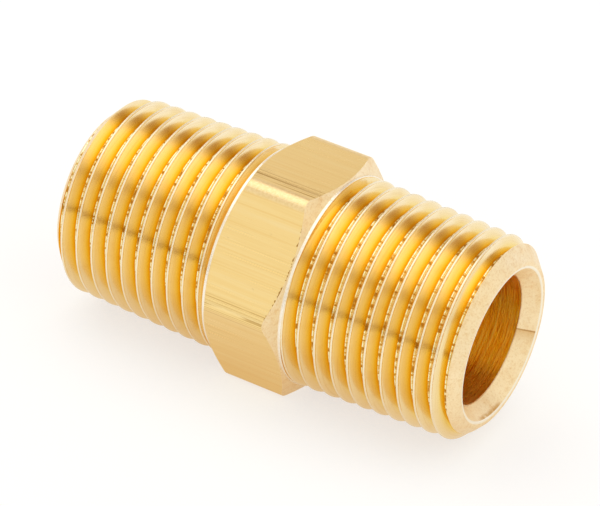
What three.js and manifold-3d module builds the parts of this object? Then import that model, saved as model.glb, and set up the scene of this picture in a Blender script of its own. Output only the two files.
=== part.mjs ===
// Hex nipple: a one-piece brass pipe fitting, turned from hexagonal bar.
// Two male taper pipe threads (1/2-14 NPT) meet at a wrench hexagon, and a plain bore runs right through.
// Units are millimetres. The origin is the centre of the hexagon, on the bore's axis.
// +X runs along the bore and +Z is square to one of the hexagon's flats.

import * as THREE from 'three';
import { mergeVertices } from 'three/addons/utils/BufferGeometryUtils.js';
import { ParametricGeometry } from 'three/addons/geometries/ParametricGeometry.js';
import Module from 'manifold-3d';

// Overall size.
const LENGTH = 46.2;
const HALF_LENGTH = LENGTH / 2;

// Wrench hexagon: 7/8 in bar, its corners rounded in drawing the bar.
const ACROSS_FLATS = 22.2;
const CORNER_RADIUS = 1.4;
const HEX_LENGTH = 8.4;
const HEX_CHAMFER_ANGLE = THREE.MathUtils.degToRad(30);

// Taper pipe thread: 14 turns per inch, 60 degree form, taper 1 in 16 on the diameter.
// Its crests and roots are cut flat.
const PITCH = 25.4 / 14;
const END_MAJOR_RADIUS = 20.716 / 2;
const RADIUS_TAPER = 1 / 32;
const THREAD_DEPTH = 0.72 * PITCH;
const CREST_FLAT = 0.08 * PITCH;
const ROOT_FLAT = (PITCH - CREST_FLAT) - 2 * THREAD_DEPTH * Math.tan(Math.PI / 6);

// Beside the hexagon each thread stops at a narrow plain land, behind a steep run-out.
const LAND_LENGTH = 0.28;
const LAND_RADIUS = 10.97;
const RUNOUT_LENGTH = 0.15 * PITCH;

// Where a crest of each thread crosses the +Y side, measured along X.
const NEAR_THREAD_PHASE = 3.63;
const FAR_THREAD_PHASE = -22.32;

// Ends: an outer chamfer, a narrow flat rim and a countersink into the bore.
const RIM_OUTER_RADIUS = 8.57;
const RIM_INNER_RADIUS = 7.95;
const END_CHAMFER_SLOPE = 1.11;
const BORE_RADIUS = 6.75;
const COUNTERSINK_DEPTH = 1.6;

// Facets round the circle.
const THREAD_SEGMENTS = 48;
const CONE_SEGMENTS = 96;
const BORE_SEGMENTS = 48;
const CORNER_SEGMENTS = 4;

// Extra stock that a cut removes, and extra turns of thread beyond each end of a rod.
const SPARE = 1.5;
const SPARE_TURNS = 2;

// How far the two threaded rods overlap, and how near two points are to count as one.
const ROD_OVERLAP = 0.3;
const WELD_DISTANCE = 1e-4;

const wasm = await Module();
wasm.setup();

/** Turns a closed three.js geometry into a manifold-3d solid. */
function toSolid(geometry) {
  const bare = geometry.clone();
  bare.deleteAttribute('normal');
  bare.deleteAttribute('uv');
  const merged = mergeVertices(bare, WELD_DISTANCE);
  const triangles = [];
  const index = merged.index.array;
  for (let i = 0; i < index.length; i += 3) {
    const [a, b, c] = index.subarray(i, i + 3);
    if (a !== b && b !== c && c !== a) {
      triangles.push(a, b, c);
    }
  }
  return new wasm.Manifold(new wasm.Mesh({
    numProp: 3,
    vertProperties: new Float32Array(merged.attributes.position.array),
    triVerts: new Uint32Array(triangles),
  }));
}

/** Turns a solid back into a three.js geometry with flat-shaded faces. */
function toGeometry(solid) {
  const mesh = solid.getMesh();
  const geometry = new THREE.BufferGeometry();
  geometry.setAttribute('position', new THREE.BufferAttribute(new Float32Array(mesh.vertProperties), 3));
  geometry.setIndex(new THREE.BufferAttribute(new Uint32Array(mesh.triVerts), 1));
  geometry.computeVertexNormals();
  return geometry;
}

/** A solid of revolution about X, from (x, radius) points that start and end on the axis. */
function turned(points, segments) {
  const profile = points.map(([x, radius]) => new THREE.Vector2(radius, x));
  const geometry = new THREE.LatheGeometry(profile, segments);
  geometry.rotateZ(-Math.PI / 2);
  return toSolid(geometry);
}

/** Radius of the cone that the thread crests lie on. */
function majorRadius(x) {
  return END_MAJOR_RADIUS + (HALF_LENGTH - Math.abs(x)) * RADIUS_TAPER;
}

/** One pitch of the thread form: distance along X from the crest's middle, and whether it is on the crest. */
const THREAD_FORM = [
  { offset: -CREST_FLAT / 2, crest: true },
  { offset: CREST_FLAT / 2, crest: true },
  { offset: (PITCH - ROOT_FLAT) / 2, crest: false },
  { offset: (PITCH + ROOT_FLAT) / 2, crest: false },
];

/**
 * A threaded rod about X between two ends, right-handed, with a crest through (phase, +Y side).
 * Its rows follow the helix, and each end closes on a point on the axis.
 */
function threadedRod(start, end, phase) {
  const firstTurn = Math.floor((start - phase) / PITCH) - SPARE_TURNS;
  const lastTurn = Math.ceil((end - phase) / PITCH) + SPARE_TURNS;
  const rows = (lastTurn - firstTurn) * THREAD_FORM.length;
  const surface = (u, v, target) => {
    const row = Math.round(v * rows);
    const form = THREAD_FORM[row % THREAD_FORM.length];
    const turn = firstTurn + Math.floor(row / THREAD_FORM.length);
    const x = phase + PITCH * (turn + u) + form.offset;
    if (x <= start || x >= end) {
      target.set(THREE.MathUtils.clamp(x, start, end), 0, 0);
      return;
    }
    const radius = majorRadius(x) - (form.crest ? 0 : THREAD_DEPTH);
    const angle = 2 * Math.PI * Math.round(u * THREAD_SEGMENTS) / THREAD_SEGMENTS;
    target.set(x, radius * Math.cos(angle), radius * Math.sin(angle));
  };
  return toSolid(new ParametricGeometry(surface, THREAD_SEGMENTS, rows));
}

/** The bar's cross-section: a hexagon with rounded corners, one flat facing up. */
function hexShape() {
  const shape = new THREE.Shape();
  const cornerCentre = (ACROSS_FLATS / 2 - CORNER_RADIUS) / Math.cos(Math.PI / 6);
  for (let corner = 0; corner < 6; corner += 1) {
    const angle = corner * Math.PI / 3;
    shape.absarc(
      cornerCentre * Math.cos(angle),
      cornerCentre * Math.sin(angle),
      CORNER_RADIUS,
      angle - Math.PI / 6,
      angle + Math.PI / 6,
    );
  }
  shape.closePath();
  return shape;
}

/** The wrench hexagon, its corners cut back by a cone at each end. */
function wrenchHex() {
  const bar = new THREE.ExtrudeGeometry(hexShape(), {
    depth: HEX_LENGTH,
    bevelEnabled: false,
    curveSegments: CORNER_SEGMENTS,
  });
  bar.translate(0, 0, -HEX_LENGTH / 2);
  bar.rotateY(Math.PI / 2);
  bar.rotateX(Math.PI / 2);
  const outerRadius = ACROSS_FLATS / 2 / Math.cos(Math.PI / 6) + SPARE;
  const chamferLength = (outerRadius - LAND_RADIUS) * Math.tan(HEX_CHAMFER_ANGLE);
  const cones = turned([
    [-HEX_LENGTH / 2, 0],
    [-HEX_LENGTH / 2, LAND_RADIUS],
    [-HEX_LENGTH / 2 + chamferLength, outerRadius],
    [HEX_LENGTH / 2 - chamferLength, outerRadius],
    [HEX_LENGTH / 2, LAND_RADIUS],
    [HEX_LENGTH / 2, 0],
  ], CONE_SEGMENTS);
  return toSolid(bar).intersect(cones);
}

/** The plain lands beside the hexagon and the run-outs that end the grooves there. */
function lands() {
  const landEnd = HEX_LENGTH / 2 + LAND_LENGTH;
  const runoutEnd = landEnd + RUNOUT_LENGTH;
  const rootRadius = LAND_RADIUS - THREAD_DEPTH;
  return turned([
    [-runoutEnd, 0],
    [-runoutEnd, rootRadius],
    [-landEnd, LAND_RADIUS],
    [landEnd, LAND_RADIUS],
    [runoutEnd, rootRadius],
    [runoutEnd, 0],
  ], THREAD_SEGMENTS);
}

/** What is left of the bar after both ends are faced to length and chamfered. */
function facedBlank() {
  const outerRadius = END_MAJOR_RADIUS + 2 * SPARE;
  const chamferEnd = HALF_LENGTH - (outerRadius - RIM_OUTER_RADIUS) / END_CHAMFER_SLOPE;
  return turned([
    [-HALF_LENGTH, 0],
    [-HALF_LENGTH, RIM_OUTER_RADIUS],
    [-chamferEnd, outerRadius],
    [chamferEnd, outerRadius],
    [HALF_LENGTH, RIM_OUTER_RADIUS],
    [HALF_LENGTH, 0],
  ], CONE_SEGMENTS);
}

/** The bore and its two countersinks, as the material that is drilled away. */
function boreCutter() {
  const slope = (RIM_INNER_RADIUS - BORE_RADIUS) / COUNTERSINK_DEPTH;
  const mouthRadius = RIM_INNER_RADIUS + SPARE * slope;
  return turned([
    [-HALF_LENGTH - SPARE, 0],
    [-HALF_LENGTH - SPARE, mouthRadius],
    [-HALF_LENGTH + COUNTERSINK_DEPTH, BORE_RADIUS],
    [HALF_LENGTH - COUNTERSINK_DEPTH, BORE_RADIUS],
    [HALF_LENGTH + SPARE, mouthRadius],
    [HALF_LENGTH + SPARE, 0],
  ], BORE_SEGMENTS);
}

/** The whole fitting: hexagon, lands and both threads as one solid, then the ends and the bore are cut. */
function nippleSolid() {
  const nearThread = threadedRod(0, HALF_LENGTH + SPARE, NEAR_THREAD_PHASE);
  const farThread = threadedRod(-HALF_LENGTH - SPARE, ROD_OVERLAP, FAR_THREAD_PHASE);
  const joined = wrenchHex().add(lands()).add(nearThread).add(farThread);
  return joined.intersect(facedBlank()).subtract(boreCutter());
}

const brass = new THREE.MeshStandardMaterial({ color: 0xd9ab4f, roughness: 0.28, metalness: 1 });
const nippleBody = new THREE.Mesh(toGeometry(nippleSolid()), brass);
nippleBody.name = 'nipple_body';

const hexNipple = new THREE.Group();
hexNipple.add(nippleBody);

export default hexNipple;
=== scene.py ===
"""Looks of the hex nipple: one piece of brass, turned from hexagonal bar, on a pale studio floor.

Shapes are worked out in millimetres and made into meshes in metres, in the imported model's frame:
the origin is the hexagon's centre, +X runs along the bore and +Z is square to a flat.
"""

import math

import bmesh
import bpy
import numpy as np
from mathutils import Matrix, Vector


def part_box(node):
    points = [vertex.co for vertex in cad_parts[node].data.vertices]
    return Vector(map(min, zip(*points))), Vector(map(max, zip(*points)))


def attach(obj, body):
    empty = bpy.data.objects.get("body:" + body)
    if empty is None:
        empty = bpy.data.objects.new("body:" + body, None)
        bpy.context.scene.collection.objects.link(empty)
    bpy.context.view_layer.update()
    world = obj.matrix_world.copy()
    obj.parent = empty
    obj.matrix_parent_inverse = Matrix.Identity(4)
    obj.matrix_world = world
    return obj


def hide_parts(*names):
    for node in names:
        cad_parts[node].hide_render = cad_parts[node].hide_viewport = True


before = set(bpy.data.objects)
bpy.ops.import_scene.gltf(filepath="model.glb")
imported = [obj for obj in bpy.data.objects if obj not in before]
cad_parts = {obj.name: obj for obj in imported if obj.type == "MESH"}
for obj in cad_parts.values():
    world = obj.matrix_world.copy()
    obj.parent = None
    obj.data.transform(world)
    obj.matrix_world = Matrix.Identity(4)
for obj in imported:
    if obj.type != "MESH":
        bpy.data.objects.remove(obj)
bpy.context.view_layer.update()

MM = 0.001
CAD_NODE = "nipple_body"

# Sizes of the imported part, in millimetres.
PART_LOW, PART_HIGH = (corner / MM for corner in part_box(CAD_NODE))
HALF_LENGTH = PART_HIGH.x
HEX_APOTHEM = PART_HIGH.z
HEX_CORNER_REACH = PART_HIGH.y

# Hexagon. Its edges sharper than HEX_EDGE_ANGLE are rounded.
HEX_HALF_LENGTH = 4.2
HEX_CHAMFER_SLOPE = 1 / math.tan(math.radians(30))
HEX_SECTOR = math.radians(60)
HEX_EDGE_ANGLE = math.radians(40)

# Taper pipe thread: 14 turns per inch, 60 degree form, taper 1 in 16 on the diameter.
# A phase is where a crest crosses the +Y side, measured along X.
PITCH = 25.4 / 14
END_MAJOR_RADIUS = 20.716 / 2
RADIUS_TAPER = 1 / 32
THREAD_DEPTH = 0.72 * PITCH
FLANK_SLOPE = math.tan(math.radians(60))
CREST_HALF_FLAT = 0.04 * PITCH
ROOT_START = CREST_HALF_FLAT + THREAD_DEPTH / FLANK_SLOPE
CREST_ROUNDING = 0.05
ROOT_ROUNDING = 0.03
RUNOUT_LENGTH = 0.15 * PITCH
LAND_LENGTH = 0.28
LAND_RADIUS = 10.97
NEAR_THREAD_PHASE = 3.63
FAR_THREAD_PHASE = -22.32

# Ends: an outer chamfer, a narrow flat rim and a countersink into the bore.
RIM_OUTER_RADIUS = 8.57
RIM_INNER_RADIUS = 7.95
END_CHAMFER_SLOPE = 1.11
BORE_RADIUS = 6.75
COUNTERSINK_DEPTH = 1.6
EDGE_ROUNDING = 0.06
MOUTH_ROUNDING = 0.09
MOUTH_CLEARANCE = 0.004

# Fineness of the meshes, and the angle above which an edge between faces is shaded sharp.
THREAD_SEGMENTS = 160
TURNED_SEGMENTS = 160
BORE_SEGMENTS = 128
CORNER_SEGMENTS = 12
FLANK_ROW_INSET = 0.1
SHARP_ANGLE = math.radians(28)

# Extra stock that a cut removes, extra turns beyond each end of a rod, and how far the two rods overlap.
SPARE = 1.5
TURNS_BEFORE = 2
TURNS_AFTER = 1
ROD_OVERLAP = 0.3

# Camera: a long lens above the front, towards the near end. Distances are in millimetres.
CAMERA_AZIMUTH = math.radians(27.07)
CAMERA_ELEVATION = math.radians(29.44)
CAMERA_ROLL = math.radians(7.17)
CAMERA_DISTANCE = 370.9
CAMERA_AIM = Vector((-0.31, 0.53, 1.09))
CAMERA_LENS = 224.2


# ---------------------------------------------------------------- camera


def make_camera():
    """A camera on a sphere round the aim point, turned about its own axis by the roll."""
    back = Vector((
        math.sin(CAMERA_AZIMUTH) * math.cos(CAMERA_ELEVATION),
        -math.cos(CAMERA_AZIMUTH) * math.cos(CAMERA_ELEVATION),
        math.sin(CAMERA_ELEVATION),
    ))
    level_right = Vector((0, 0, 1)).cross(back).normalized()
    level_up = back.cross(level_right)
    right = level_right * math.cos(CAMERA_ROLL) + level_up * math.sin(CAMERA_ROLL)
    up = back.cross(right)
    data = bpy.data.cameras.new("camera")
    data.sensor_width = 36.0
    data.lens = CAMERA_LENS
    data.clip_start = 0.01
    camera = bpy.data.objects.new("camera", data)
    turn = Matrix((right, up, back)).transposed().to_4x4()
    camera.matrix_world = Matrix.Translation((CAMERA_AIM + back * CAMERA_DISTANCE) * MM) @ turn
    bpy.context.collection.objects.link(camera)
    bpy.context.scene.camera = camera


# ---------------------------------------------------------------- meshes


def new_object(name, vertices, faces, materials, slots=None):
    """A mesh object from points in millimetres, with one material slot number for each face."""
    mesh = bpy.data.meshes.new(name)
    mesh.from_pydata([tuple(v) for v in np.asarray(vertices) * MM], [], faces)
    for material in materials:
        mesh.materials.append(material)
    if slots is not None:
        mesh.polygons.foreach_set("material_index", slots)
    made = bpy.data.objects.new(name, mesh)
    bpy.context.collection.objects.link(made)
    return made


def turned(name, profile, segments, materials, band_slots=None):
    """A closed solid of revolution about X, from (x, radius) points that start and end on the axis.

    band_slots gives the material slot of each band between two points of the profile.
    """
    inner = profile[1:-1]
    band_slots = band_slots or [0] * (len(profile) - 1)
    angles = np.arange(segments) * 2 * math.pi / segments
    vertices = [(profile[0][0], 0, 0), (profile[-1][0], 0, 0)]
    for x, radius in inner:
        vertices += [(x, radius * math.cos(a), radius * math.sin(a)) for a in angles]
    faces, slots = [], []
    last = 2 + (len(inner) - 1) * segments
    for j in range(segments):
        k = (j + 1) % segments
        faces.append((0, 2 + k, 2 + j))
        slots.append(band_slots[0])
        faces.append((1, last + j, last + k))
        slots.append(band_slots[-1])
        for ring in range(len(inner) - 1):
            low = 2 + ring * segments
            high = low + segments
            faces.append((low + j, low + k, high + k, high + j))
            slots.append(band_slots[ring + 1])
    return new_object(name, vertices, faces, materials, slots)


def rounded_profile(corners, rounding, steps=3):
    """Turns each inner corner of an (x, radius) outline into a small arc-like curve."""
    points = [corners[0]]
    for before, corner, after in zip(corners, corners[1:], corners[2:]):
        before, corner, after = (np.array(p, float) for p in (before, corner, after))
        to_before = (before - corner) / np.linalg.norm(before - corner)
        to_after = (after - corner) / np.linalg.norm(after - corner)
        start = corner + to_before * rounding
        end = corner + to_after * rounding
        for i in range(steps + 1):
            t = i / steps
            points.append(tuple((1 - t) ** 2 * start + 2 * t * (1 - t) * corner + t * t * end))
    points.append(corners[-1])
    return points


def apply_modifiers(made):
    """Makes the object's modifiers part of its mesh."""
    evaluated = made.evaluated_get(bpy.context.evaluated_depsgraph_get())
    result = bpy.data.meshes.new_from_object(evaluated)
    made.modifiers.clear()
    made.data = result


def boolean(target, tool, operation):
    """Joins or cuts target with tool, keeps each face's own material, and removes tool."""
    modifier = target.modifiers.new("cut", "BOOLEAN")
    modifier.operation = operation
    modifier.solver = "EXACT"
    modifier.material_mode = "TRANSFER"
    modifier.object = tool
    apply_modifiers(target)
    bpy.data.objects.remove(tool)


def soften_edges(made, width, angle):
    """Rounds the edges sharper than an angle, in radians."""
    modifier = made.modifiers.new("soften", "BEVEL")
    modifier.width = width * MM
    modifier.segments = 2
    modifier.limit_method = "ANGLE"
    modifier.angle_limit = angle
    apply_modifiers(made)


# ---------------------------------------------------------------- thread


def major_radius(x):
    """Radius of the cone on which the crests lie."""
    return END_MAJOR_RADIUS + (HALF_LENGTH - np.abs(x)) * RADIUS_TAPER


def soft_ramp(value, rounding):
    """Zero below 0 and value above it, with a rounded corner."""
    blend = (value + rounding) ** 2 / (4 * rounding)
    return np.where(value < -rounding, 0, np.where(value > rounding, value, blend))


def soft_ramp_slope(value, rounding):
    """Slope of soft_ramp, from 0 to 1."""
    return np.clip((value + rounding) / (2 * rounding), 0, 1)


def groove(along):
    """Depth of the thread form at a distance along the axis from the crest's middle."""
    side = np.abs(along)
    falling = soft_ramp(side - CREST_HALF_FLAT, CREST_ROUNDING)
    levelling = soft_ramp(side - ROOT_START, ROOT_ROUNDING)
    return FLANK_SLOPE * (falling - levelling)


def groove_slope(along):
    """How fast the groove deepens along the axis there."""
    side = np.abs(along)
    falling = soft_ramp_slope(side - CREST_HALF_FLAT, CREST_ROUNDING)
    levelling = soft_ramp_slope(side - ROOT_START, ROOT_ROUNDING)
    return FLANK_SLOPE * (falling - levelling) * np.sign(along)


def thread_rows():
    """Places across one pitch where the mesh has a row, from the crest's middle."""
    half = [
        CREST_HALF_FLAT - CREST_ROUNDING,
        CREST_HALF_FLAT,
        CREST_HALF_FLAT + CREST_ROUNDING,
        CREST_HALF_FLAT + CREST_ROUNDING + FLANK_ROW_INSET,
        ROOT_START - ROOT_ROUNDING - FLANK_ROW_INSET,
        ROOT_START - ROOT_ROUNDING,
        ROOT_START,
    ]
    return sorted(half + [PITCH / 2] + [PITCH - along for along in half])


def thread_radius_and_normal(x, angle, phase):
    """Radius and outward normal of the threaded surface at places along and round the axis."""
    along = x - phase - PITCH * angle / (2 * math.pi)
    along = along - PITCH * np.round(along / PITCH)
    slope = groove_slope(along)
    radius = major_radius(x) - groove(along)
    along_x = -np.sign(x) * RADIUS_TAPER - slope
    along_angle = slope * PITCH / (2 * math.pi) / radius
    normal = np.stack([
        -along_x,
        np.cos(angle) + along_angle * np.sin(angle),
        np.sin(angle) - along_angle * np.cos(angle),
    ], axis=-1)
    return radius, normal / np.linalg.norm(normal, axis=-1, keepdims=True)


def threaded_rod(name, start, end, phase, material):
    """A closed right-handed threaded rod.

    Its rows follow the helix, and past each end they collapse on the axis.
    """
    rows = np.array(thread_rows())
    first = math.floor((start - phase) / PITCH) - TURNS_BEFORE
    last = math.ceil((end - phase) / PITCH) + TURNS_AFTER
    offsets = np.concatenate([phase + PITCH * turn + rows for turn in range(first, last)])
    columns = np.arange(THREAD_SEGMENTS)
    x = offsets[:, None] + PITCH * columns[None, :] / THREAD_SEGMENTS
    angle = np.broadcast_to(columns * 2 * math.pi / THREAD_SEGMENTS, x.shape)
    radius, _ = thread_radius_and_normal(x, angle, phase)
    number = np.arange(x.size).reshape(x.shape) + 2
    number[x <= start] = 0
    number[x >= end] = 1
    points = np.stack([x, radius * np.cos(angle), radius * np.sin(angle)], axis=-1).reshape(-1, 3)
    vertices = np.concatenate([[(start, 0, 0), (end, 0, 0)], points])
    seam = np.full(len(offsets), 1)
    seam[:-len(rows)] = number[len(rows):, 0]
    grid = np.concatenate([number, seam[:, None]], axis=1)
    faces = []
    for i in range(len(offsets) - 1):
        for j in range(THREAD_SEGMENTS):
            corners = (grid[i, j], grid[i, j + 1], grid[i + 1, j + 1], grid[i + 1, j])
            face = tuple(dict.fromkeys(int(c) for c in corners))
            if len(face) > 2:
                faces.append(face)
    made = new_object(name, vertices, faces, [material])
    remove_loose(made)
    return made


def remove_loose(made):
    """Deletes vertices that no face uses."""
    work = bmesh.new()
    work.from_mesh(made.data)
    loose = [v for v in work.verts if not v.link_faces]
    bmesh.ops.delete(work, geom=loose, context="VERTS")
    work.to_mesh(made.data)
    work.free()


# ---------------------------------------------------------------- hexagon and ends


def hex_bar(material):
    """The length of drawn bar between the threads: a hexagon with rounded corners."""
    sharp_reach = HEX_APOTHEM / math.cos(HEX_SECTOR / 2)
    rounding = (sharp_reach - HEX_CORNER_REACH) / (1 / math.cos(HEX_SECTOR / 2) - 1)
    centre = (HEX_APOTHEM - rounding) / math.cos(HEX_SECTOR / 2)
    outline = []
    for corner in range(6):
        middle = corner * HEX_SECTOR
        for step in range(CORNER_SEGMENTS + 1):
            angle = middle + HEX_SECTOR * (step / CORNER_SEGMENTS - 0.5)
            outline.append((
                centre * math.cos(middle) + rounding * math.cos(angle),
                centre * math.sin(middle) + rounding * math.sin(angle),
            ))
    count = len(outline)
    vertices = [(side * HEX_HALF_LENGTH, y, z) for side in (-1, 1) for y, z in outline]
    faces = [tuple(range(count))[::-1], tuple(range(count, 2 * count))]
    faces += [(i, (i + 1) % count, count + (i + 1) % count, count + i) for i in range(count)]
    return new_object("bar", vertices, faces, [material])


def hex_cones(material):
    """The pair of cones that cut the hexagon's corners back at each end."""
    outer_radius = HEX_CORNER_REACH + SPARE
    cone_length = (outer_radius - LAND_RADIUS) / HEX_CHAMFER_SLOPE
    return turned("cones", [
        (-HEX_HALF_LENGTH, 0),
        (-HEX_HALF_LENGTH, LAND_RADIUS),
        (cone_length - HEX_HALF_LENGTH, outer_radius),
        (HEX_HALF_LENGTH - cone_length, outer_radius),
        (HEX_HALF_LENGTH, LAND_RADIUS),
        (HEX_HALF_LENGTH, 0),
    ], TURNED_SEGMENTS, [material])


def lands(material):
    """The plain lands beside the hexagon and the run-outs that end the grooves there."""
    land_end = HEX_HALF_LENGTH + LAND_LENGTH
    runout_end = land_end + RUNOUT_LENGTH
    near = [(land_end, LAND_RADIUS), (runout_end, LAND_RADIUS - THREAD_DEPTH), (runout_end, 0)]
    near = rounded_profile([(0, LAND_RADIUS)] + near, EDGE_ROUNDING)[1:]
    far = [(-x, radius) for x, radius in reversed(near)]
    return turned("lands", far + near, TURNED_SEGMENTS, [material])


def faced_blank(material):
    """What facing and chamfering leave at the two ends."""
    outer_radius = END_MAJOR_RADIUS + 2 * SPARE
    chamfer_end = HALF_LENGTH - (outer_radius - RIM_OUTER_RADIUS) / END_CHAMFER_SLOPE
    near = [(chamfer_end, outer_radius), (HALF_LENGTH, RIM_OUTER_RADIUS), (HALF_LENGTH, 0)]
    near = rounded_profile(near, EDGE_ROUNDING)
    far = [(-x, radius) for x, radius in reversed(near)]
    return turned("blank", far + near, TURNED_SEGMENTS, [material])


def bore_cutter(drilled, countersunk):
    """The metal that drilling and countersinking take out."""
    near = [
        (0, BORE_RADIUS),
        (HALF_LENGTH - COUNTERSINK_DEPTH, BORE_RADIUS),
        (HALF_LENGTH + MOUTH_CLEARANCE, RIM_INNER_RADIUS),
        (HALF_LENGTH + MOUTH_CLEARANCE, RIM_INNER_RADIUS + SPARE),
        (HALF_LENGTH + SPARE, RIM_INNER_RADIUS + SPARE),
        (HALF_LENGTH + SPARE, 0),
    ]
    near = rounded_profile(near, MOUTH_ROUNDING)[1:]
    far = [(-x, radius) for x, radius in reversed(near)]
    slots = [1] * (len(far) - 1) + [0] + [1] * (len(near) - 1)
    return turned("cutter", far + near, BORE_SEGMENTS, [drilled, countersunk], slots)


# ---------------------------------------------------------------- materials


class Graph:
    """Short ways to add shader nodes to a tree. Each call gives back the new node's output."""

    def __init__(self, tree):
        self.nodes, self.links = tree.nodes, tree.links

    def put(self, socket, value):
        if isinstance(value, bpy.types.NodeSocket):
            self.links.new(value, socket)
        else:
            socket.default_value = value

    def math(self, operation, *values):
        node = self.nodes.new("ShaderNodeMath")
        node.operation = operation
        for socket, value in zip(node.inputs, values):
            self.put(socket, value)
        return node.outputs[0]

    def product(self, first, *others):
        for other in others:
            first = self.math("MULTIPLY", first, other)
        return first

    def vector(self, *values):
        node = self.nodes.new("ShaderNodeCombineXYZ")
        for socket, value in zip(node.inputs, values):
            self.put(socket, value)
        return node.outputs[0]

    def step(self, value, start, end, low=0.0, high=1.0):
        """Goes smoothly from low to high as value goes from start to end."""
        node = self.nodes.new("ShaderNodeMapRange")
        node.interpolation_type = "SMOOTHSTEP"
        for name, number in (("Value", value), ("To Min", low), ("To Max", high)):
            self.put(node.inputs[name], number)
        if start > end:
            start, end = end, start
            self.put(node.inputs["To Min"], high)
            self.put(node.inputs["To Max"], low)
        node.inputs["From Min"].default_value = start
        node.inputs["From Max"].default_value = end
        return node.outputs["Result"]

    def noise(self, place, scale=1.0, detail=2.0, roughness=0.5, distortion=0.0):
        node = self.nodes.new("ShaderNodeTexNoise")
        self.put(node.inputs["Vector"], place)
        for name, number in (
            ("Scale", scale), ("Detail", detail), ("Roughness", roughness), ("Distortion", distortion),
        ):
            node.inputs[name].default_value = number
        return node.outputs["Fac"]

    def ramp(self, value, stops):
        """A colour for each value between 0 and 1, from (value, colour) stops."""
        node = self.nodes.new("ShaderNodeValToRGB")
        self.put(node.inputs["Fac"], value)
        elements = node.color_ramp.elements
        while len(elements) < len(stops):
            elements.new(1.0)
        for element, (position, colour) in zip(elements, stops):
            element.position = position
            element.color = (*colour, 1)
        return node.outputs["Color"]

    def mix(self, factor, below, above, blend="MIX"):
        node = self.nodes.new("ShaderNodeMix")
        node.data_type = "RGBA"
        node.blend_type = blend
        for name, value in (("Factor", factor), ("A", below), ("B", above)):
            if isinstance(value, tuple):
                value = (*value, 1)
            self.put(next(i for i in node.inputs if i.name == name and i.enabled), value)
        return next(o for o in node.outputs if o.enabled)

    def darken(self, colour, factor, tint):
        """Colour times tint, as far as factor says."""
        return self.mix(factor, colour, tint, "MULTIPLY")


class Brass(Graph):
    """One finish of the brass, with the places on the fitting that its marks follow, in millimetres."""

    def __init__(self, name, roughness, anisotropic=0.0):
        self.material = bpy.data.materials.new(name)
        self.material.use_nodes = True
        super().__init__(self.material.node_tree)
        self.shader = self.nodes["Principled BSDF"]
        self.shader.inputs["Metallic"].default_value = 1
        self.shader.inputs["Roughness"].default_value = roughness
        self.shader.inputs["Anisotropic"].default_value = anisotropic
        coordinates = self.nodes.new("ShaderNodeTexCoord")
        scale = self.nodes.new("ShaderNodeVectorMath")
        scale.operation = "SCALE"
        scale.inputs["Scale"].default_value = 1 / MM
        self.links.new(coordinates.outputs["Object"], scale.inputs[0])
        self.place = scale.outputs[0]
        split = self.nodes.new("ShaderNodeSeparateXYZ")
        self.links.new(self.place, split.inputs[0])
        self.x, self.y, self.z = split.outputs
        squares = self.math("MULTIPLY", self.y, self.y)
        self.radius = self.math("SQRT", self.math("MULTIPLY_ADD", self.z, self.z, squares))
        self.side = self.math("ABSOLUTE", self.x)

    def around(self, along, turns, start=0.0):
        """A noise place that changes with x and with the direction round the bore, with no seam."""
        return self.vector(
            self.math("MULTIPLY_ADD", self.x, along, start),
            self.math("MULTIPLY", self.math("DIVIDE", self.y, self.radius), turns),
            self.math("MULTIPLY", self.math("DIVIDE", self.z, self.radius), turns),
        )

    def polar_angle(self):
        """Direction round the bore, from +Y towards +Z, in radians."""
        return self.math("ARCTAN2", self.z, self.y)

    def stretched(self, along, across, start=0.0):
        """A noise place with its own fineness along the bore and across it."""
        return self.vector(
            self.math("MULTIPLY_ADD", self.x, along, start),
            self.math("MULTIPLY", self.y, across),
            self.math("MULTIPLY", self.z, across),
        )

    def bump(self, height, depth, under=None):
        """Adds relief over the relief under it, as a height from 0 to 1 of a depth in millimetres."""
        node = self.nodes.new("ShaderNodeBump")
        node.inputs["Distance"].default_value = depth * MM
        self.put(node.inputs["Height"], height)
        if under is not None:
            self.links.new(under, node.inputs["Normal"])
        return node.outputs["Normal"]

    def turned_tangent(self):
        """Stretches highlights across marks that run round the bore."""
        tangent = self.nodes.new("ShaderNodeTangent")
        tangent.direction_type = "RADIAL"
        tangent.axis = "X"
        self.shader.inputs["Anisotropic Rotation"].default_value = 0.25
        self.links.new(tangent.outputs["Tangent"], self.shader.inputs["Tangent"])

    def finish(self, colour, normal, roughness=None):
        """Connects what was worked out, and gives back the finished material."""
        self.put(self.shader.inputs["Base Color"], colour)
        self.links.new(normal, self.shader.inputs["Normal"])
        if roughness is not None:
            self.put(self.shader.inputs["Roughness"], roughness)
        return self.material


# Painted highlight: the pale colour of the crests, and of the lands beside the hexagon, stands in for the
# light they catch.
CREST_HIGHLIGHT_COLOUR = (0.98, 0.86, 0.62)
LAND_HIGHLIGHT_COLOUR = (1.0, 0.93, 0.80)

# Colour below the crest by depth in the groove, as a share of the thread's depth. It grows darker and more
# saturated towards the root: painted shade of the light that bounces in the groove.
THREAD_DEPTH_SHADE_COLOURS = (
    (0.05, (0.97, 0.83, 0.56)),
    (0.14, (0.96, 0.78, 0.45)),
    (0.45, (0.95, 0.735, 0.35)),
    (0.66, (0.95, 0.71, 0.24)),
    (0.86, (0.93, 0.62, 0.08)),
    (1.0, (0.88, 0.49, 0.02)),
)
THREAD_STREAK_TINT = (0.93, 0.86, 0.74)
THREAD_CLOUD_TINT = (0.96, 0.9, 0.8)

# Torn strip along each root: its two edges as shares of the pitch, and its colours by noise, dark flecks of
# painted shade and pale flecks of painted glints over real relief.
# Here and below, a pair of places says where a mark begins to show and where it is full.
TORN_START = (0.452, 0.462)
TORN_END = (0.545, 0.53)
TORN_GLINT_SHADE_COLOURS = (
    (0.40, (0.48, 0.22, 0.03)),
    (0.46, (0.84, 0.58, 0.18)),
    (0.52, (1.0, 0.98, 0.64)),
)

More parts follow.
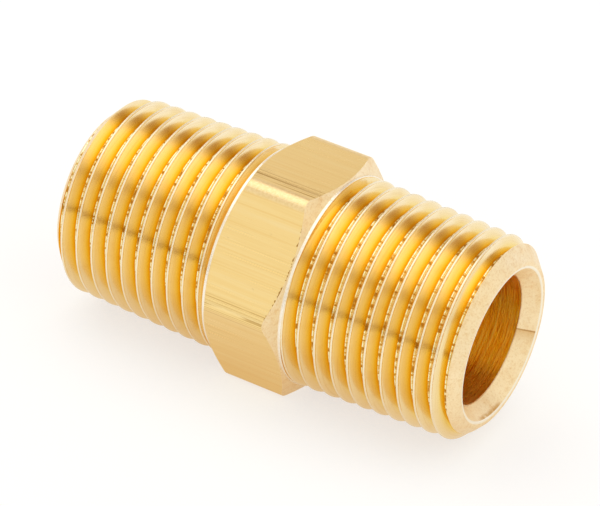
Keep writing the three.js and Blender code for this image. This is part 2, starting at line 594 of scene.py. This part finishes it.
# Relief of the threads, in millimetres.
THREAD_RING_RELIEF = 0.0025
THREAD_WAVE_RELIEF = 0.002
THREAD_NICK_RELIEF = 0.05
TORN_RELIEF = 0.05


def threaded_brass(name, crest_highlight_colour):
    """Cut thread and its lands: smooth flanks, a painted highlight on the crests, painted shade deeper in
    the grooves and torn metal along each root with painted glints and shade.
    """
    brass = Brass(name, 0.17, 0.6)
    brass.turned_tangent()
    middle_radius = END_MAJOR_RADIUS + HALF_LENGTH * RADIUS_TAPER
    crest = brass.math("MULTIPLY_ADD", brass.side, -RADIUS_TAPER, middle_radius)
    depth = brass.math("DIVIDE", brass.math("SUBTRACT", crest, brass.radius), THREAD_DEPTH)
    # Painted highlight at the crest, and painted shade that deepens towards the root.
    colour = brass.ramp(depth, ((0.0, crest_highlight_colour), *THREAD_DEPTH_SHADE_COLOURS))
    streaks = brass.noise(brass.around(9.0, 1.0), detail=3.0)
    colour = brass.darken(colour, brass.step(streaks, 0.5, 0.75, 0.0, 0.6), THREAD_STREAK_TINT)
    clouds = brass.noise(brass.place, 0.55, detail=3.0)
    colour = brass.darken(colour, brass.step(clouds, 0.5, 0.75, 0.0, 0.5), THREAD_CLOUD_TINT)

    # How far along one pitch each place is: 0 on a crest, a half in the root.
    is_far = brass.math("LESS_THAN", brass.x, 0.0)
    phase = brass.math("MULTIPLY_ADD", is_far, FAR_THREAD_PHASE - NEAR_THREAD_PHASE, NEAR_THREAD_PHASE)
    pitches = brass.math("DIVIDE", brass.math("SUBTRACT", brass.x, phase), PITCH)
    form = brass.math("FRACT", brass.math("MULTIPLY_ADD", brass.polar_angle(), -1 / (2 * math.pi), pitches))
    after_start = brass.step(form, *TORN_START)
    before_end = brass.step(form, *TORN_END)
    in_root = brass.product(after_start, before_end, brass.step(depth, 0.5, 0.7))
    flecks = brass.noise(brass.around(1.2, 17.0), detail=3.0, roughness=0.6)
    # The torn strip's colours are painted glints and painted shade; the same flecks also give it real
    # relief.
    colour = brass.mix(in_root, colour, brass.ramp(flecks, TORN_GLINT_SHADE_COLOURS))

    nicks = brass.noise(brass.place, 2.6, detail=4.0, roughness=0.7)
    on_crest = brass.step(depth, 0.12, 0.04)
    normal = brass.bump(brass.noise(brass.around(12.0, 1.5), detail=2.0), THREAD_RING_RELIEF)
    normal = brass.bump(brass.noise(brass.place, 3.0, detail=3.0), THREAD_WAVE_RELIEF, normal)
    normal = brass.bump(brass.product(on_crest, nicks), THREAD_NICK_RELIEF, normal)
    normal = brass.bump(brass.product(in_root, flecks), TORN_RELIEF, normal)
    return brass.finish(colour, normal)


TURNED_COLOUR = (1.0, 0.82, 0.52)
TURNED_CLOUD_TINT = (0.97, 0.92, 0.84)
TURNED_GRAIN_TINT = (0.86, 0.76, 0.60)
TURNED_SPECK_TINT = (0.90, 0.80, 0.66)
TURNED_RING_FINENESS = 7.0
TURNED_RING_RELIEF = 0.012
TURNED_GRAIN_RELIEF = 0.035

# Marks in the countersink: a painted reflection of a dark line with painted shade below it, and a smear.
# Angles are in radians:
# the line's own is from +Y towards +Z, and the shade and the smear are placed by how far they lie below the
# line.
SINK_LINE_ANGLE = math.radians(-15)
SINK_LINE_EDGE = (0.014, 0.006)
SINK_REFLECTED_LINE_TINT = (0.64, 0.47, 0.29)
SINK_SHADE_START = (0.0, 0.01)
SINK_SHADE_END = (0.22, 0.0)
SINK_SHADE_TINT = (0.84, 0.72, 0.56)
RIM_SMEAR_START = (1.0, 1.15)
RIM_SMEAR_END = (1.7, 1.5)
RIM_SMEAR_RADIUS = (RIM_INNER_RADIUS - 0.4, RIM_INNER_RADIUS - 0.12)
RIM_SMEAR_TINT = (0.72, 0.53, 0.30)

# Painted highlight along the edge of the bore's mouth: its two edges as distances out from the rim's inner
# edge.
MOUTH_EDGE_START = (-0.08, -0.04)
MOUTH_EDGE_END = (0.26, 0.18)
MOUTH_EDGE_HIGHLIGHT_COLOUR = (1.0, 0.92, 0.74)


def turned_brass():
    """Turned faces and chamfers: matt and pale, with fine grain and rings."""
    brass = Brass("turned_brass", 0.42, 0.3)
    brass.turned_tangent()
    rings = brass.vector(
        brass.product(brass.x, TURNED_RING_FINENESS), brass.product(brass.radius, TURNED_RING_FINENESS), 0.0
    )
    ring_height = brass.noise(rings, detail=3.0, roughness=0.7)
    grain = brass.noise(brass.place, 5.0, detail=3.0, roughness=0.7)
    clouds = brass.noise(brass.place, 0.8, detail=4.0)
    colour = brass.darken(TURNED_COLOUR, brass.step(clouds, 0.45, 0.75, 0.0, 0.8), TURNED_CLOUD_TINT)
    colour = brass.darken(colour, brass.step(grain, 0.45, 0.75, 0.0, 0.8), TURNED_GRAIN_TINT)
    specks = brass.noise(brass.place, 1.7, detail=5.0, roughness=0.7)
    colour = brass.darken(colour, brass.step(specks, 0.48, 0.72, 0.0, 0.7), TURNED_SPECK_TINT)

    # A painted reflection of a dark line crosses the countersink with painted shade below it, and a smear
    # follows the bottom of the rim.
    in_sink = brass.math("LESS_THAN", brass.radius, RIM_INNER_RADIUS)
    below = brass.math("SUBTRACT", SINK_LINE_ANGLE, brass.polar_angle())
    line = brass.product(brass.step(brass.math("ABSOLUTE", below), *SINK_LINE_EDGE), in_sink)
    colour = brass.darken(colour, line, SINK_REFLECTED_LINE_TINT)
    before_end = brass.step(below, *SINK_SHADE_END)
    shade_below_line = brass.product(before_end, brass.step(below, *SINK_SHADE_START), in_sink)
    colour = brass.darken(colour, shade_below_line, SINK_SHADE_TINT)
    past_start = brass.step(below, *RIM_SMEAR_START)
    low = brass.product(past_start, brass.step(below, *RIM_SMEAR_END), in_sink)
    at_rim = brass.step(brass.radius, *RIM_SMEAR_RADIUS)
    smear = brass.step(brass.noise(brass.place, 1.6, detail=2.0), 0.3, 0.6, 0.3, 1.0)
    colour = brass.darken(colour, brass.product(smear, at_rim, low), RIM_SMEAR_TINT)

    # The edge of the bore's mouth is painted paler: a painted highlight.
    from_edge = brass.math("SUBTRACT", brass.radius, RIM_INNER_RADIUS)
    past_start = brass.step(from_edge, *MOUTH_EDGE_START)
    at_mouth = brass.product(past_start, brass.step(from_edge, *MOUTH_EDGE_END))
    colour = brass.mix(at_mouth, colour, MOUTH_EDGE_HIGHLIGHT_COLOUR)
    normal = brass.bump(ring_height, TURNED_RING_RELIEF)
    normal = brass.bump(grain, TURNED_GRAIN_RELIEF, normal)
    roughness = brass.step(clouds, 0.3, 0.7, 0.36, 0.48)
    return brass.finish(colour, normal, roughness)


DRAWN_COLOURS = (
    (0.3, (0.95, 0.70, 0.29)),
    (0.55, (0.98, 0.745, 0.335)),
    (0.8, (0.99, 0.79, 0.41)),
)
DRAWN_FINE_TINT = (0.92, 0.84, 0.68)
DRAWN_FINE_RELIEF = 0.004

# Deep draw marks: where they lie on the top flat and at mid height, their strength there, and their look.
TOP_FLAT_Z = (HEX_APOTHEM - 0.3, HEX_APOTHEM - 0.1)
TOP_MARKS_Y = (-2.0, -4.0)
MIDDLE_MARKS_START_Z = (-1.1, -0.6)
MIDDLE_MARKS_END_Z = (1.3, 0.7)
MIDDLE_MARKS_STRENGTH = 0.7
DRAW_MARK_TINT = (0.50, 0.37, 0.19)
DRAW_MARK_RELIEF = -0.004

# Grainy metal on the upper ridges, its colour darkened there as painted shade that dims the lamp's
# highlight.
RIDGE_RADIUS = (HEX_CORNER_REACH - 0.35, HEX_CORNER_REACH - 0.15)
RIDGE_Z = (2.0, 4.0)
RIDGE_GRAIN_SHADE_COLOURS = ((0.4, (0.88, 0.66, 0.32)), (0.6, (0.96, 0.75, 0.42)))

# Nicks, and the burr along the near chamfer's edge.
DRAWN_NICK_RELIEF = -0.03
BURR_START_Z = (0.2, 1.2)
BURR_END_Z = (9.6, 8.6)
BURR_TINT = (0.5, 0.34, 0.17)
BURR_RELIEF = 0.05


def drawn_brass():
    """The bar's own flats: satin, with draw marks along the bore and a burr at the turned edge."""
    brass = Brass("drawn_brass", 0.3)
    broad = brass.noise(brass.stretched(0.06, 1.6), detail=5.0, roughness=0.65)
    colour = brass.ramp(broad, DRAWN_COLOURS)
    fine = brass.noise(brass.stretched(0.04, 6.0), detail=4.0, roughness=0.6)
    colour = brass.darken(colour, brass.step(fine, 0.5, 0.7, 0.0, 0.5), DRAWN_FINE_TINT)

    # Deep draw marks lie in bunches: along the top flat's front half, and along the ridges at mid height.
    is_top = brass.step(brass.z, *TOP_FLAT_Z)
    top_bunch = brass.product(brass.step(brass.y, *TOP_MARKS_Y), is_top)
    above_start = brass.step(brass.z, *MIDDLE_MARKS_START_Z)
    below_end = brass.step(brass.z, *MIDDLE_MARKS_END_Z)
    middle_bunch = brass.product(above_start, below_end, MIDDLE_MARKS_STRENGTH)
    bunched = brass.math("MAXIMUM", top_bunch, middle_bunch)
    lines = brass.noise(brass.stretched(0.012, 6.0, 4.0), detail=0.0)
    near_line = brass.math("ABSOLUTE", brass.math("SUBTRACT", lines, 0.5))
    reach = brass.step(brass.noise(brass.stretched(0.18, 1.3, 9.0), detail=1.0), 0.32, 0.46)
    reach = brass.product(reach, bunched)
    score = brass.product(brass.step(near_line, 0.07, 0.02), reach)
    colour = brass.darken(colour, score, DRAW_MARK_TINT)

    # The upper ridges are grainy, and their colour is painted darker to dim their highlight.
    ridge = brass.product(brass.step(brass.radius, *RIDGE_RADIUS), brass.step(brass.z, *RIDGE_Z))
    ridge_grain = brass.noise(brass.place, 4.0, detail=3.0, roughness=0.7)
    colour = brass.mix(ridge, colour, brass.ramp(ridge_grain, RIDGE_GRAIN_SHADE_COLOURS))

    # Nicks lie here and there, and a ragged burr follows the near chamfer's edge on the upper flats.
    chips = brass.noise(brass.place, 2.2, detail=3.0, roughness=0.6)
    nicks = brass.step(chips, 0.69, 0.73)
    cone = brass.math("SUBTRACT", HEX_HALF_LENGTH, brass.x)
    cone = brass.math("MULTIPLY_ADD", cone, HEX_CHAMFER_SLOPE, LAND_RADIUS)
    to_edge = brass.math("SUBTRACT", cone, brass.radius)
    ragged = brass.noise(brass.place, 3.2, detail=2.0)
    burr_width = brass.step(ragged, 0.46, 0.7, -0.03, 0.26)
    burr = brass.step(brass.math("SUBTRACT", to_edge, burr_width), 0.04, 0.0)
    on_upper_flats = brass.product(brass.step(brass.z, *BURR_START_Z), brass.step(brass.z, *BURR_END_Z))
    burr = brass.product(burr, on_upper_flats)
    colour = brass.darken(colour, burr, BURR_TINT)
    normal = brass.bump(fine, DRAWN_FINE_RELIEF)
    normal = brass.bump(score, DRAW_MARK_RELIEF, normal)
    normal = brass.bump(nicks, DRAWN_NICK_RELIEF, normal)
    normal = brass.bump(burr, BURR_RELIEF, normal)
    roughness = brass.step(fine, 0.3, 0.7, 0.27, 0.34)
    return brass.finish(colour, normal, roughness)


# The bore's colours are much deeper than the brass's own: painted shade of the light that goes round the
# bore, varied by noise.
DRILLED_SHADE_COLOURS = (
    (0.36, (0.72, 0.16, 0.0)),
    (0.47, (1.0, 0.36, 0.0)),
    (0.60, (1.0, 0.56, 0.06)),
)
DRILLED_STREAK_GLINT_COLOUR = (1.0, 0.60, 0.02)
DRILLED_STREAK_GLINT_STRENGTH = 0.6
DRILLED_LOW_Z = (-4.9, -6.4)
DRILLED_LOW_SHADE_TINT = (0.62, 0.48, 0.4)
DRILLED_COARSE_RELIEF = 0.16
DRILLED_FINE_RELIEF = 0.05
DRILLED_STREAK_RELIEF = 0.03


def drilled_brass():
    """The bore: deep scratches run round it with painted glints, its colours are painted shade, and its
    bottom is painted darker still.
    """
    brass = Brass("drilled_brass", 0.3, 0.6)
    brass.turned_tangent()
    coarse = brass.noise(brass.around(7.0, 1.3), detail=5.0, roughness=0.75)
    fine = brass.noise(brass.around(14.0, 2.4, 5.0), detail=2.0, roughness=0.6)
    colour = brass.ramp(coarse, DRILLED_SHADE_COLOURS)
    lines = brass.noise(brass.around(10.0, 1.0, 2.0), detail=2.0)
    near_line = brass.math("ABSOLUTE", brass.math("SUBTRACT", lines, 0.5))
    streak = brass.step(near_line, 0.035, 0.01)
    # Painted glints along the scratches; the same streaks also give real relief below.
    colour = brass.mix(brass.product(streak, DRILLED_STREAK_GLINT_STRENGTH), colour, DRILLED_STREAK_GLINT_COLOUR)
    # Painted shade: the lower part of the bore is darker.
    colour = brass.darken(colour, brass.step(brass.z, *DRILLED_LOW_Z), DRILLED_LOW_SHADE_TINT)
    normal = brass.bump(coarse, DRILLED_COARSE_RELIEF)
    normal = brass.bump(fine, DRILLED_FINE_RELIEF, normal)
    normal = brass.bump(streak, DRILLED_STREAK_RELIEF, normal)
    return brass.finish(colour, normal)


# ---------------------------------------------------------------- the fitting


def smooth_shading(made, thread_slot):
    """Smooth faces, sharp edges at real corners, and the thread's exact normals on its own faces.

    Elsewhere a large face keeps its own normal right up to a narrow rounded edge.
    """
    made.data.shade_smooth()
    made.data.set_sharp_from_angle(angle=SHARP_ANGLE)
    modifier = made.modifiers.new("weigh", "WEIGHTED_NORMAL")
    modifier.keep_sharp = True
    apply_modifiers(made)
    mesh = made.data
    count = len(mesh.loops)
    loop_vertex = np.empty(count, int)
    mesh.loops.foreach_get("vertex_index", loop_vertex)
    points = np.empty(len(mesh.vertices) * 3)
    mesh.vertices.foreach_get("co", points)
    points = points.reshape(-1, 3)[loop_vertex] / MM
    face_slot = np.empty(len(mesh.polygons), int)
    mesh.polygons.foreach_get("material_index", face_slot)
    face_size = np.empty(len(mesh.polygons), int)
    mesh.polygons.foreach_get("loop_total", face_size)
    loop_slot = np.repeat(face_slot, face_size)
    normals = np.empty(count * 3)
    mesh.corner_normals.foreach_get("vector", normals)
    normals = normals.reshape(-1, 3)
    threaded = loop_slot == thread_slot
    x, y, z = points[threaded].T
    phase = np.where(x > 0, NEAR_THREAD_PHASE, FAR_THREAD_PHASE)
    _, exact = thread_radius_and_normal(x, np.arctan2(z, y), phase)
    normals[threaded] = exact
    mesh.normals_split_custom_set([tuple(n) for n in normals])


def make_nipple():
    """The whole fitting as one piece: bar, lands and threads are joined, then the ends and bore are cut."""
    threaded = threaded_brass("threaded_brass", CREST_HIGHLIGHT_COLOUR)
    land = threaded_brass("land_brass", LAND_HIGHLIGHT_COLOUR)
    turned_finish, drawn, drilled = turned_brass(), drawn_brass(), drilled_brass()
    body = hex_bar(drawn)
    boolean(body, hex_cones(turned_finish), "INTERSECT")
    soften_edges(body, EDGE_ROUNDING, HEX_EDGE_ANGLE)
    boolean(body, lands(land), "UNION")
    rod_end = HALF_LENGTH + SPARE
    boolean(body, threaded_rod("near", 0, rod_end, NEAR_THREAD_PHASE, threaded), "UNION")
    boolean(body, threaded_rod("far", -rod_end, ROD_OVERLAP, FAR_THREAD_PHASE, threaded), "UNION")
    boolean(body, faced_blank(turned_finish), "INTERSECT")
    boolean(body, bore_cutter(drilled, turned_finish), "DIFFERENCE")
    body.name = "brass_nipple"
    names = [material.name for material in body.data.materials]
    smooth_shading(body, names.index(threaded.name))
    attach(body, "root")
    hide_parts(CAD_NODE)


# ---------------------------------------------------------------- studio


# The floor and the backdrop are sized in metres.
FLOOR_RADIUS = 3.0
FLOOR_COLOUR = 0.42
FLOOR_GLOW = 0.62
BACKDROP_RADIUS = 2.9
BACKDROP_HEIGHT = 3.0
BACKDROP_GLOW = 0.97

# The table is sized in millimetres. Its front edge is nearest to the fitting.
TABLE_RADIUS = 415.0
TABLE_FRONT = 115.0

# The table's light by distance from under the fitting, as a share of TABLE_FADE.
# The shade reaches further along the bore than across it.
TABLE_FADE = 60.0
TABLE_SQUEEZE_ALONG = 0.5
TABLE_LIGHT = (
    (0.0, (0.67, 0.50, 0.33)),
    (0.12, (0.77, 0.62, 0.46)),
    (0.3, (0.96, 0.93, 0.88)),
    (0.6, (1.0, 0.98, 0.96)),
    (1.0, (1.0, 1.0, 1.0)),
)

# The studio's light by elevation, from straight down to straight up: (sine of elevation, colour).
# Below the horizon only a dim gap beyond the table's edge shows, and above it the pale walls.
STUDIO_LIGHT = (
    (-1.0, (0.45, 0.36, 0.25)),
    (-0.07, (0.40, 0.30, 0.20)),
    (-0.045, (0.55, 0.44, 0.32)),
    (-0.02, (0.92, 0.87, 0.79)),
    (0.05, (0.95, 0.92, 0.85)),
    (0.20, (0.97, 0.95, 0.90)),
    (0.45, (0.95, 0.91, 0.84)),
    (1.0, (1.0, 0.98, 0.95)),
)

# Soft round cards over that light. Azimuth runs from +X toward +Y. Azimuth, elevation, radius and
# softness of the edge are in degrees, then the colour.
STUDIO_CARDS = (
    (175, 66, 26, 14, (1.5, 1.45, 1.4)),
    (60, 4, 16, 10, (1.03, 1.08, 1.28)),
    (107, 42, 12, 13, (0.50, 0.34, 0.20)),
    (68, 40, 12, 12, (0.5, 0.38, 0.26)),
    (-134, 35, 2, 9, (0.58, 0.44, 0.28)),
)

# The bore sends light round many times before it leaves.
LIGHT_BOUNCES = 24


def stage_surface(name, vertices, faces, colour, glow):
    """A plain matt surface of the studio that also glows. Its points are in metres."""
    mesh = bpy.data.meshes.new(name)
    mesh.from_pydata(vertices, [], faces)
    material = bpy.data.materials.new(name)
    material.use_nodes = True
    shader = material.node_tree.nodes["Principled BSDF"]
    shader.inputs["Base Color"].default_value = (colour, colour, colour, 1)
    shader.inputs["Roughness"].default_value = 1
    shader.inputs["Specular IOR Level"].default_value = 0
    shader.inputs["Emission Color"].default_value = (1, 1, 1, 1)
    shader.inputs["Emission Strength"].default_value = glow
    mesh.materials.append(material)
    made = bpy.data.objects.new(name, mesh)
    bpy.context.collection.objects.link(made)
    return made


def circle(radius, z, centre_y=0.0, sides=64):
    """Points round a vertical axis, in metres."""
    turn = 2 * math.pi / sides
    return [
        (radius * math.cos(i * turn), centre_y + radius * math.sin(i * turn), z) for i in range(sides)
    ]


def make_floor():
    """A plain pale floor, endless to the camera."""
    ring = circle(FLOOR_RADIUS, PART_LOW.z * MM)
    floor = stage_surface("floor", ring, [tuple(range(len(ring)))], FLOOR_COLOUR, FLOOR_GLOW)
    floor.visible_glossy = False


def make_table():
    """The floor as the brass mirrors it: warm shade under the fitting, and an edge on its front side."""
    ring = circle(TABLE_RADIUS * MM, PART_LOW.z * MM, (TABLE_RADIUS - TABLE_FRONT) * MM)
    table = stage_surface("table", ring, [tuple(range(len(ring)))], 0.0, 1.0)
    table.visible_camera = table.visible_diffuse = table.visible_shadow = False
    graph = Graph(table.data.materials[0].node_tree)
    split = graph.nodes.new("ShaderNodeSeparateXYZ")
    graph.links.new(graph.nodes.new("ShaderNodeTexCoord").outputs["Object"], split.inputs[0])
    along = graph.math("MULTIPLY", split.outputs["X"], TABLE_SQUEEZE_ALONG)
    across = graph.math("MULTIPLY", split.outputs["Y"], split.outputs["Y"])
    distance = graph.math("SQRT", graph.math("MULTIPLY_ADD", along, along, across))
    light = graph.ramp(graph.math("DIVIDE", distance, TABLE_FADE * MM), TABLE_LIGHT)
    graph.links.new(light, graph.nodes["Principled BSDF"].inputs["Emission Color"])


def make_backdrop():
    """A pale wall right round the floor, seen only by the camera."""
    low = circle(BACKDROP_RADIUS, PART_LOW.z * MM)
    high = circle(BACKDROP_RADIUS, BACKDROP_HEIGHT)
    sides = len(low)
    faces = [(i, (i + 1) % sides, sides + (i + 1) % sides, sides + i) for i in range(sides)]
    faces.append(tuple(range(sides, 2 * sides)))
    wall = stage_surface("backdrop", low + high, faces, 0.0, BACKDROP_GLOW)
    wall.visible_diffuse = wall.visible_glossy = wall.visible_shadow = False


def make_world():
    """A pale studio with a large soft lamp overhead, a cool card and warm gaps between its walls."""
    world = bpy.data.worlds.new("studio")
    world.use_nodes = True
    graph = Graph(world.node_tree)
    direction = graph.nodes.new("ShaderNodeTexCoord").outputs["Generated"]
    split = graph.nodes.new("ShaderNodeSeparateXYZ")
    graph.links.new(direction, split.inputs[0])
    rise = graph.math("MULTIPLY_ADD", split.outputs["Z"], 0.5, 0.5)
    light = graph.ramp(rise, [((z + 1) / 2, colour) for z, colour in STUDIO_LIGHT])
    for azimuth, elevation, radius, softness, colour in STUDIO_CARDS:
        height = math.radians(elevation)
        aim = Vector((math.cos(height), 0, math.sin(height)))
        aim.rotate(Matrix.Rotation(math.radians(azimuth), 3, "Z"))
        dot = graph.nodes.new("ShaderNodeVectorMath")
        dot.operation = "DOT_PRODUCT"
        dot.inputs[1].default_value = aim
        graph.links.new(direction, dot.inputs[0])
        angle = graph.math("ARCCOSINE", dot.outputs["Value"])
        outer, inner = radius + softness, max(radius - softness, 0)
        cover = graph.step(angle, math.radians(outer), math.radians(inner))
        light = graph.mix(cover, light, colour)
    graph.links.new(light, graph.nodes["Background"].inputs["Color"])
    scene = bpy.context.scene
    scene.world = world
    scene.view_settings.view_transform = "Standard"
    scene.cycles.max_bounces = LIGHT_BOUNCES
    scene.cycles.glossy_bounces = LIGHT_BOUNCES


make_camera()
make_nipple()
make_floor()
make_table()
make_backdrop()
make_world()
